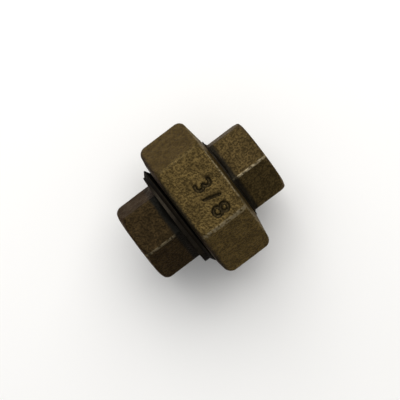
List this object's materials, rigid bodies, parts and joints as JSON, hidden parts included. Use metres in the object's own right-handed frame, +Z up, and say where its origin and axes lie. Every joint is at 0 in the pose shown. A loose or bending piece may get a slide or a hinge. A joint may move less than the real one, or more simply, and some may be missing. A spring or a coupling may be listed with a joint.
{
  "type": "pipe union",
  "caption": "Hexagonal threaded pipe union in malleable iron: a large nut draws a tail end onto a threaded end against a brass seat ring.",
  "frame": {"origin": "under the middle of the union's length, on the plane of the nut flat that it lies on", "axes": "+X along the waterway from the threaded end to the tail end, +Z up and square to the nut's top flat, +Y across the nut's corners"},
  "size_m": [0.043, 0.0434, 0.0377],
  "materials": {
    "threaded_end_iron": "sand-cast, oiled dark olive brown, with machined threads and seat",
    "tail_end_iron": "sand-cast, oiled dark olive brown, worn bright on its corners",
    "union_nut_iron": "coarse sand-cast skin, oiled olive brown",
    "seat_brass": "turned brass"
  },
  "bodies": {
    "threaded_half": {"threaded_end": "threaded_end_iron"},
    "seat": {"seat_ring": "seat_brass"},
    "tail_half": {"tail_end": "tail_end_iron"},
    "nut": {"union_nut": "union_nut_iron"}
  },
  "joints": [
    {"name": "draw_slide", "type": "slide", "parent": "threaded_half", "child": "seat", "axis": [1, 0, 0], "range_m": [0, 0.01039]},
    {"name": "nut_turn", "type": "hinge", "parent": "seat", "child": "nut", "pos_m": [0, 0, 0.01884], "axis": [1, 0, 0], "range_deg": [0, 1620]},
    {"name": "tail_swivel", "type": "hinge", "parent": "seat", "child": "tail_half", "pos_m": [0, 0, 0.01884], "axis": [1, 0, 0], "continuous": true}
  ],
  "couplings": [
    {"joint": "nut_turn", "follows": "draw_slide", "rad_per_m": 2721.1}
  ]
}
